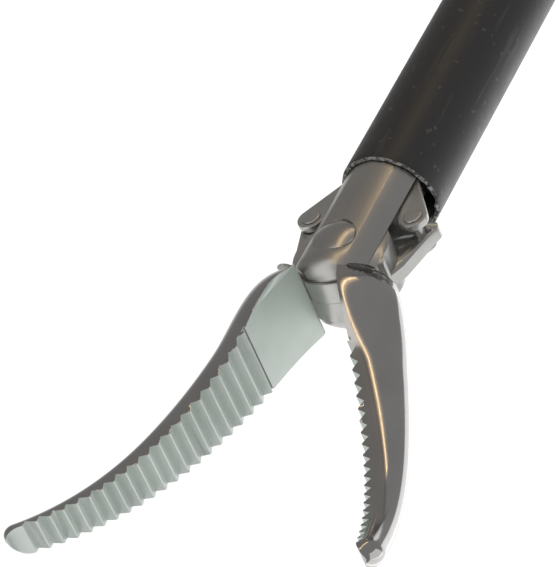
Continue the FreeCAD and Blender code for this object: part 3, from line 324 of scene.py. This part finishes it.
def dressed(node, body, finish, bevel=0.0, levels=2):
    """Dresses a CAD piece: its edges are eased and it gets its own finish, riding on its body."""
    piece = merged(node)
    eased(piece, bevel, levels=levels)
    seated(piece, node, body, finish)


dressed("shaft_tube", "shaft", steel)


# Clevis and jaw pin. The clevis is turned from stainless bar and slotted along
# the middle; its cheeks are rounded over and carry the riveted pin.
cheek_steel = Finish("cheek_steel", (0.47, 0.46, 0.44), 0.26, 1.0)
haze = cheek_steel.grain(260.0, 3.0)
turning = cheek_steel.grain(1.0, 3.0, (5200.0, 300.0, 300.0))
cheek_steel.give("Base Color", cheek_steel.tint(haze, (0.41, 0.40, 0.38), (0.52, 0.51, 0.49)))
cheek_steel.give("Roughness", 0.24 + 0.10 * haze + 0.05 * turning)
cheek_steel.give("Normal", cheek_steel.relief(turning + 0.5 * haze, 0.000002))


def combine(piece, tool, operation):
    """Cuts a tool's shape out of a piece or joins it to the piece; the tool is then gone."""
    pick(piece)
    step = piece.modifiers.new("step", "BOOLEAN")
    step.operation = operation
    step.solver = "EXACT"
    step.object = tool
    bpy.ops.object.modifier_apply(modifier=step.name)
    bpy.data.objects.remove(tool)


def cut_away(piece, tool):
    """Cuts a tool's shape out of a piece."""
    combine(piece, tool, "DIFFERENCE")


def block(low, high):
    """A plain block between two corners, for cutting."""
    deselect()
    middle = [(a + b) / 2 for a, b in zip(low, high)]
    size = [b - a for a, b in zip(low, high)]
    bpy.ops.mesh.primitive_cube_add(size=1.0, location=middle, scale=size)
    bpy.ops.object.transform_apply(location=True, rotation=True, scale=True)
    return bpy.context.object


def cross_bar(radius, low, high):
    """A plain round bar along Y at the jaw pin, for cutting."""
    deselect()
    place = (jaw_axis.x, (low + high) / 2, 0.0)
    bpy.ops.mesh.primitive_cylinder_add(
        vertices=128, radius=radius, depth=high - low, location=place, rotation=(math.pi / 2, 0.0, 0.0)
    )
    bpy.ops.object.transform_apply(location=True, rotation=True, scale=True)
    return bpy.context.object


clevis_low, clevis_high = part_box("clevis")
barrel = clevis_high.z
cheek_reach = clevis_high.x - jaw_axis.x
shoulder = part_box("shaft_tube")[1].x
spigot = 0.00173
bore = 0.00095
nose_curve = 0.0010
half_slot = 0.0012
slot_length = 0.0116
outside = 0.006
rounded = [
    (
        clevis_high.x - nose_curve + nose_curve * math.sin(math.radians(9.0 * i)),
        barrel - nose_curve + nose_curve * math.cos(math.radians(9.0 * i)),
    )
    for i in range(11)
]
clevis = turned(
    "turned_clevis",
    [
        (clevis_low.x, bore),
        (clevis_low.x, spigot),
        (shoulder, spigot),
        (shoulder, barrel),
        *rounded,
        (clevis_high.x, bore),
        (clevis_low.x, bore),
    ],
    sides=160,
)
slot_front = jaw_axis.x + outside
cut_away(clevis, block((jaw_axis.x - slot_length, -half_slot, -outside), (slot_front, half_slot, outside)))
corners = block((jaw_axis.x, -outside, -outside), (slot_front, outside, outside))
cut_away(corners, cross_bar(cheek_reach, -2 * outside, 2 * outside))
cut_away(clevis, corners)

head_radius = pin_high.x - jaw_axis.x
head_top = pin_high.y
dome = 0.0003
head_rim = head_top - dome
seat_depth = 0.0002
seat = head_rim - seat_depth
seat_play = 0.00001
pin_radius = 0.0006
for side in (-1.0, 1.0):
    ends = sorted((side * seat, side * outside))
    cut_away(clevis, cross_bar(head_radius + seat_play, *ends))
eased(clevis, 0.00005, 32.0)
seated(clevis, "clevis", "shaft", cheek_steel)

dome_curve = (head_radius**2 + dome**2) / (2 * dome)
cap = [(head_rim, head_radius)]
for share in (0.97, 0.90, 0.78, 0.62, 0.42, 0.20, 0.0001):
    wide = head_radius * share
    cap.append((head_top - dome_curve + math.sqrt(dome_curve**2 - wide**2), wide))
half_pin = [(seat, pin_radius), (seat, head_radius), *cap]
jaw_pin = turned("riveted_pin", [(-x, wide) for x, wide in reversed(half_pin)] + half_pin)
jaw_pin.rotation_euler = (0.0, 0.0, math.pi / 2)
jaw_pin.location = jaw_axis
bpy.ops.object.transform_apply(location=True, rotation=True, scale=True)
smooth(jaw_pin, 40.0)
seated(jaw_pin, "jaw_pin", "shaft", steel)


# Push rod and link pins. A steel wire through the shaft, flattened at the front
# into a tongue, with two riveted pins that the links hang on.
linkage_steel = Finish("linkage_steel", (0.50, 0.50, 0.48), 0.32, 0.80)
tumbled = linkage_steel.grain(900.0, 3.0)
linkage_steel.give("Base Color", linkage_steel.tint(tumbled, (0.46, 0.46, 0.44), (0.60, 0.60, 0.58)))
linkage_steel.give("Roughness", 0.22 + 0.16 * tumbled)
linkage_steel.give("Normal", linkage_steel.relief(tumbled, 0.000005))

dressed("push_rod", "rod", linkage_steel, bevel=0.00004)
dressed("link_pin_upper", "rod", linkage_steel, bevel=0.00003)
dressed("link_pin_lower", "rod", linkage_steel, bevel=0.00003)
dressed("rod_ball", "rod", steel)


# Links. Two stamped steel bars that stand out of the slot on either side and
# push the tails of the jaws apart; their edges are tumbled round.
dressed("upper_link", "link_upper", linkage_steel, bevel=0.00006, levels=3)
dressed("lower_link", "link_lower", linkage_steel, bevel=0.00006, levels=3)


# Jaws. Forged and ground stainless blades, bowed to one side, polished on the
# back and milled with twenty cross teeth on the satin biting face.
jaw_steel = Finish("jaw_steel", (0.47, 0.46, 0.44), 0.15, 1.0)
breath = jaw_steel.grain(380.0, 3.0)
jaw_steel.give("Base Color", jaw_steel.tint(breath, (0.40, 0.39, 0.375), (0.52, 0.51, 0.50)))
jaw_steel.give("Roughness", 0.09 + 0.08 * breath)
jaw_steel.give("Normal", jaw_steel.relief(breath, 0.000002))

satin = Finish("satin_steel", (0.72, 0.78, 0.735), 0.48, 0.55)
frost = satin.grain(1500.0, 3.0)
stain = satin.band(satin.grain(330.0, 2.0), 0.35, 0.70)
satin.give("Base Color", satin.tint(stain, (0.67, 0.73, 0.685), (0.76, 0.82, 0.775)))
satin.give("Roughness", 0.42 + 0.14 * frost)
satin.give("Normal", satin.relief(frost, 0.000010))

rest_opening = math.radians(25.0)
face_gap = 0.00003
face_step = 0.00009
heel = 0.00250
heel_overlap = 0.00008
heel_round = 0.12
root = 0.00285
root_section = (0.10, 2.22, 0.08, 1.65)
root_slopes = (0.9, 0.9, 0.0, -0.3)
blend = 0.0075
neck_back = 0.0019
neck_reach = 0.0040
neck_top = 0.0017
law_start = 6.6
law_length = 13.75
bow_middle = 12.5
bow_depth = -1.69
bow_ahead = 0.064
bow_back = 0.047
tooth_start = 0.0066
tooth_pitch = 0.0007
tooth_depth = 0.00032
tooth_flat = 0.00008
tooth_count = 20
groove_lead = 0.00006
blade_rings = 60
nose_start = 0.02035
nose_round = 0.0008
nose_lift = 0.28
notch_width = 0.00014
notch_depth = 0.00010
biting_slope = -0.20
biting_reach = 0.0006
outline_points = 64
arc_points = 44
flank_points = 3


def mixed(share, first, first_slope, last, last_slope):
    """A smooth curve from one value and slope to another, as share goes from 0 to 1."""
    square = share * share
    cube = square * share
    return (
        (2 * cube - 3 * square + 1) * first
        + (cube - 2 * square + share) * first_slope
        + (3 * square - 2 * cube) * last
        + (cube - square) * last_slope
    )


def blade_law(x):
    """Sideways bow, half width, side height and shoulder of the blade, in mm, at x mm from the pin."""
    along = (x - law_start) / law_length
    belly = along * (1.0 - along)
    curve = bow_ahead if x > bow_middle else bow_back
    bow = bow_depth + curve * (x - bow_middle) ** 2 / 2
    half = 1.78 - 0.94 * along - 0.79 * belly
    side = 0.43 - 0.26 * along + 0.98 * belly
    return bow, half, side, 1.0


def blade_section(x):
    """The same four values at x metres from the pin, with the thick root run smoothly into the blade."""
    place = x * 1000.0
    start, end = root * 1000.0, blend * 1000.0
    if place <= start:
        return root_section
    if place >= end:
        return blade_law(place)
    share = (place - start) / (end - start)
    at_end = blade_law(end)
    ahead = blade_law(end + 0.01)
    values = []
    for first, slope, last, after in zip(root_section, root_slopes, at_end, ahead):
        values.append(mixed(share, first, slope, last, (after - last) * 100.0 * (end - start)))
    return values


def outline_point(index, half, side, shoulder):
    """Point of the half-round outline: the flat biting face, a low flank, the round back and a flank."""
    face_points = outline_points - arc_points - 2 * flank_points
    if index < flank_points:
        return half, side * index / flank_points
    index -= flank_points
    if index < arc_points:
        turn = math.pi * index / arc_points
        power = shoulder if turn > math.pi / 2 else 1.0
        return half * math.cos(turn), side + half * math.sin(turn) ** power
    index -= arc_points
    if index < flank_points:
        return -half, side * (1.0 - index / flank_points)
    index -= flank_points
    return half * (2.0 * index / face_points - 1.0), 0.0


def groove(x, side):
    """A wedge across the biting face, for cutting one tooth's groove."""
    deselect()
    bpy.ops.mesh.primitive_cylinder_add(
        vertices=3, radius=0.001, depth=2 * outside, rotation=(math.pi / 2, 0.0, 0.0)
    )
    wedge = bpy.context.object
    bpy.ops.object.transform_apply(location=True, rotation=True, scale=True)
    half = (tooth_pitch - tooth_flat) / 2
    spread = half * (1.0 + groove_lead / tooth_depth)
    for vertex in wedge.data.vertices:
        if abs(vertex.co.x) < 0.0001:
            vertex.co.x = x
            vertex.co.z = side * (face_gap + tooth_depth)
        else:
            vertex.co.x = x + math.copysign(spread, vertex.co.x)
            vertex.co.z = side * (face_gap - groove_lead)
    return wedge


def outward(piece):
    """Turns all faces of a closed piece outwards."""
    open_whole(piece)
    bpy.ops.mesh.normals_make_consistent(inside=False)
    bpy.ops.object.mode_set(mode="OBJECT")


def blade(name, side):
    """The half-round blade of a closed jaw, at the origin, from its rounded heel to its nose."""
    rear = heel - heel_overlap
    stations = [rear + (root - rear) * (1.0 - math.cos(math.radians(18.0 * i))) for i in range(5)]
    stations += [root + (nose_start - root) * i / blade_rings for i in range(blade_rings)]
    stations += [nose_start + nose_round * math.sin(math.radians(9.5 * i)) for i in range(10)]
    piece = turned(name, [(x, 0.001) for x in stations], sides=outline_points)
    for vertex in piece.data.vertices:
        x = vertex.co.x
        turn = math.atan2(vertex.co.z, vertex.co.y) % (2 * math.pi)
        index = round(turn / (2 * math.pi) * outline_points) % outline_points
        bow, half, height, shoulder = blade_section(x)
        lift = 0.0
        if x < root:
            half -= heel_round * (1.0 - math.sqrt(max(0.0, 1.0 - ((root - x) / (root - rear)) ** 2)))
        if x > nose_start:
            shrink = math.sqrt(max(0.0, 1.0 - ((x - nose_start) / nose_round) ** 2))
            half *= shrink
            height *= shrink
            lift = nose_lift * (1.0 - shrink)
        across, up = outline_point(index, half, height, shoulder)
        vertex.co.y = (across - bow) * 0.001
        vertex.co.z = side * (face_gap + (up + lift) * 0.001)
    open_whole(piece)
    bpy.ops.mesh.fill_holes(sides=0)
    bpy.ops.object.mode_set(mode="OBJECT")
    outward(piece)
    return piece


def jaw(node, body, side, first_tooth):
    """The hub and tail of a CAD jaw with a ground blade; side is 1 for the upper jaw, -1 for the lower."""
    piece = merged(node)
    closing = Matrix.Rotation(side * rest_opening, 4, "Y") @ Matrix.Translation(-jaw_axis)
    piece.data.transform(closing)
    open_whole(piece)
    bpy.ops.mesh.bisect(plane_co=(heel, 0.0, 0.0), plane_no=(1.0, 0.0, 0.0), use_fill=True, clear_outer=True)
    bpy.ops.object.mode_set(mode="OBJECT")
    outward(piece)
    low, high = sorted((side * neck_top, side * neck_reach))
    cut_away(piece, block((neck_back, -outside, low), (neck_reach, outside, high)))
    ground = blade(node + "_blade", side)
    step_end = first_tooth - tooth_pitch / 2
    low, high = sorted((side * (face_gap + face_step), -side * 0.001))
    cut_away(ground, block((0.002, -outside, low), (step_end, outside, high)))
    low, high = sorted((side * (face_gap + face_step + notch_depth), -side * 0.001))
    cut_away(ground, block((step_end - notch_width, -outside, low), (step_end, outside, high)))
    grooves = [groove(first_tooth + tooth_pitch * i, side) for i in range(tooth_count)]
    deselect()
    for wedge in grooves:
        wedge.select_set(True)
    bpy.context.view_layer.objects.active = grooves[0]
    bpy.ops.object.join()
    outward(grooves[0])
    cut_away(ground, grooves[0])
    combine(piece, ground, "UNION")
    eased(piece, 0.00004, 28.0)
    seated(piece, node, body, jaw_steel)
    piece.data.materials.append(satin.material)
    piece.data.materials.append(linkage_steel.material)
    for face in piece.data.polygons:
        biting = face.normal.z * side < biting_slope and abs(face.center.z) < biting_reach
        if face.center.x > heel and biting:
            face.material_index = 1
        elif face.center.x < heel + 0.00002:
            face.material_index = 2
    piece.data.transform(closing.inverted())


jaw("upper_jaw", "jaw_upper", 1.0, tooth_start + tooth_pitch / 2)
jaw("lower_jaw", "jaw_lower", -1.0, tooth_start)
dressed("knee_rivet_upper", "jaw_upper", linkage_steel, bevel=0.00004)
dressed("knee_rivet_lower", "jaw_lower", linkage_steel, bevel=0.00004)


# Rotation knob and bushing. A fluted knob moulded in black polymer over a steel
# bushing that turns in the housing; the fingertip turns it to aim the jaws.
black_knob = Finish("black_knob", (0.030, 0.030, 0.032), 0.46)
spark = black_knob.grain(5200.0, 2.0)
rubbed = black_knob.band(black_knob.grain(160.0, 2.0), 0.52, 0.75)
black_knob.give("Base Color", black_knob.tint(rubbed, (0.026, 0.026, 0.028), (0.045, 0.045, 0.048)))
black_knob.give("Roughness", 0.50 - 0.14 * rubbed)
black_knob.give("Normal", black_knob.relief(spark, 0.00003))

dressed("rotation_knob", "shaft", black_knob, bevel=0.0006)
dressed("shaft_bushing", "shaft", steel, bevel=0.0002)


# Housing with finger loop. Two glass-filled polymer shells, welded along the
# middle, with a fine eroded grain; the screw and its nut carry the lever.
black_grip = Finish("black_grip", (0.035, 0.035, 0.038), 0.50)
grain = black_grip.grain(3800.0, 2.0)
handled = black_grip.band(black_grip.grain(60.0, 2.0), 0.45, 0.72)
black_grip.give("Base Color", black_grip.tint(handled, (0.030, 0.030, 0.033), (0.048, 0.048, 0.051)))
black_grip.give("Roughness", 0.56 - 0.16 * handled)
black_grip.give("Normal", black_grip.relief(grain, 0.00004))

dressed("handle_body", "handle", black_grip, bevel=0.0007)
dressed("pivot_screw", "handle", steel, bevel=0.0002)
dressed("pivot_nut", "handle", steel, bevel=0.0002)


# Thumb lever. The same polymer as the housing, with a ring for the thumb; its
# yoke pushes the ball at the end of the rod.
dressed("thumb_lever", "lever", black_grip, bevel=0.0007)


# Contact post and collar. A plated steel pin for the current lead, held in a
# black collar moulded on the housing.
dressed("electrode_post", "handle", steel, bevel=0.0003)
dressed("post_collar", "handle", black_knob, bevel=0.0003)


# Flush port with its cap and the release button, on top of the housing. The
# cap is grey rubber, the button a moulded polymer disc on a spring.
grey_rubber = Finish("grey_rubber", (0.105, 0.105, 0.11), 0.62)
bloom = grey_rubber.grain(700.0, 3.0)
grey_rubber.give("Base Color", grey_rubber.tint(bloom, (0.085, 0.085, 0.09), (0.14, 0.14, 0.145)))
grey_rubber.give("Normal", grey_rubber.relief(bloom, 0.00004))

dark_button = Finish("dark_button", (0.080, 0.080, 0.085), 0.42)
matting = dark_button.grain(4200.0, 2.0)
dark_button.give("Base Color", dark_button.tint(matting, (0.065, 0.065, 0.07), (0.10, 0.10, 0.105)))
dark_button.give("Normal", dark_button.relief(matting, 0.00002))

dressed("flush_port", "handle", steel, bevel=0.0002)
dressed("port_cap", "handle", grey_rubber, bevel=0.0004)
dressed("release_button", "button", dark_button, bevel=0.0003)


# Floor, lamps and surroundings. A pale sheet under the instrument, a white screen
# behind it, a soft lamp above and a warm strip in front; the rest is dim grey.
floor_height = cad_box[0].z - 0.0005
deselect()
bpy.ops.mesh.primitive_plane_add(size=5.0, location=(0.1, 0.0, floor_height))
floor = bpy.context.object
floor.name = "floor"
bpy.ops.object.transform_apply(location=True, rotation=True, scale=True)
pale = Finish("pale_floor", (0.34, 0.335, 0.33), 0.9)
seen = pale.node("ShaderNodeLightPath", out="Is Camera Ray")
mirrored = pale.node("ShaderNodeLightPath", out="Is Glossy Ray")
forward = pale.node("ShaderNodeSeparateXYZ", {0: pale.place}, out="X")
sideways = pale.node("ShaderNodeSeparateXYZ", {0: pale.place}, out="Y")
behind = pale.band(sideways, -0.02, 0.07)
ahead_of_tip = pale.band(forward - 0.3, 0.05, 0.12)
lit_floor = pale.node("ShaderNodeMath", {0: behind, 1: ahead_of_tip}, operation="MAXIMUM")
pale.give("Emission Color", (1.0, 1.0, 1.0, 1.0))
pale.give("Emission Strength", seen * 0.85 + mirrored * (0.06 + 0.90 * lit_floor))
floor.data.materials.append(pale.material)


def soft_lamp(name, place, aim, wide, tall, power, colour=(1.0, 1.0, 1.0)):
    """A rectangular soft box that the camera itself doesn't see."""
    deselect()
    bpy.ops.object.light_add(type="AREA", location=place)
    lamp = bpy.context.object
    lamp.name = name
    lamp.data.shape = "RECTANGLE"
    lamp.data.size = wide
    lamp.data.size_y = tall
    lamp.data.energy = power
    lamp.data.color = colour
    lamp.visible_camera = False
    lamp.rotation_mode = "QUATERNION"
    lamp.rotation_quaternion = (Vector(aim) - Vector(place)).to_track_quat("-Z", "Y")
    return lamp


soft_lamp("back_screen", (0.05, 0.62, 0.14), (0.25, 0.0, 0.0), 1.4, 0.5, 2.2)
soft_lamp("top_lamp", (0.30, 0.55, 0.80), (0.31, 0.0, 0.0), 1.3, 1.1, 3.3)
soft_lamp("warm_core", (0.12, -0.50, 0.02), (0.3, 0.0, 0.0), 1.0, 0.012, 0.22, (1.0, 0.76, 0.45))
soft_lamp("warm_glow", (0.12, -0.52, 0.02), (0.3, 0.0, 0.0), 1.0, 0.11, 0.17, (1.0, 0.64, 0.28))

world = bpy.data.worlds.new("studio")
bpy.context.scene.world = world
world.use_nodes = True
backdrop = world.node_tree.nodes["Background"]
rays = world.node_tree.nodes.new("ShaderNodeLightPath")
sky = world.node_tree.nodes.new("ShaderNodeMix")
sky.data_type = "RGBA"
sky.inputs[6].default_value = (0.33, 0.33, 0.335, 1.0)
sky.inputs[7].default_value = (1.0, 1.0, 1.0, 1.0)
world.node_tree.links.new(rays.outputs["Is Camera Ray"], sky.inputs[0])
world.node_tree.links.new(sky.outputs[2], backdrop.inputs["Color"])
bpy.context.scene.view_settings.view_transform = "Standard"

deselect()
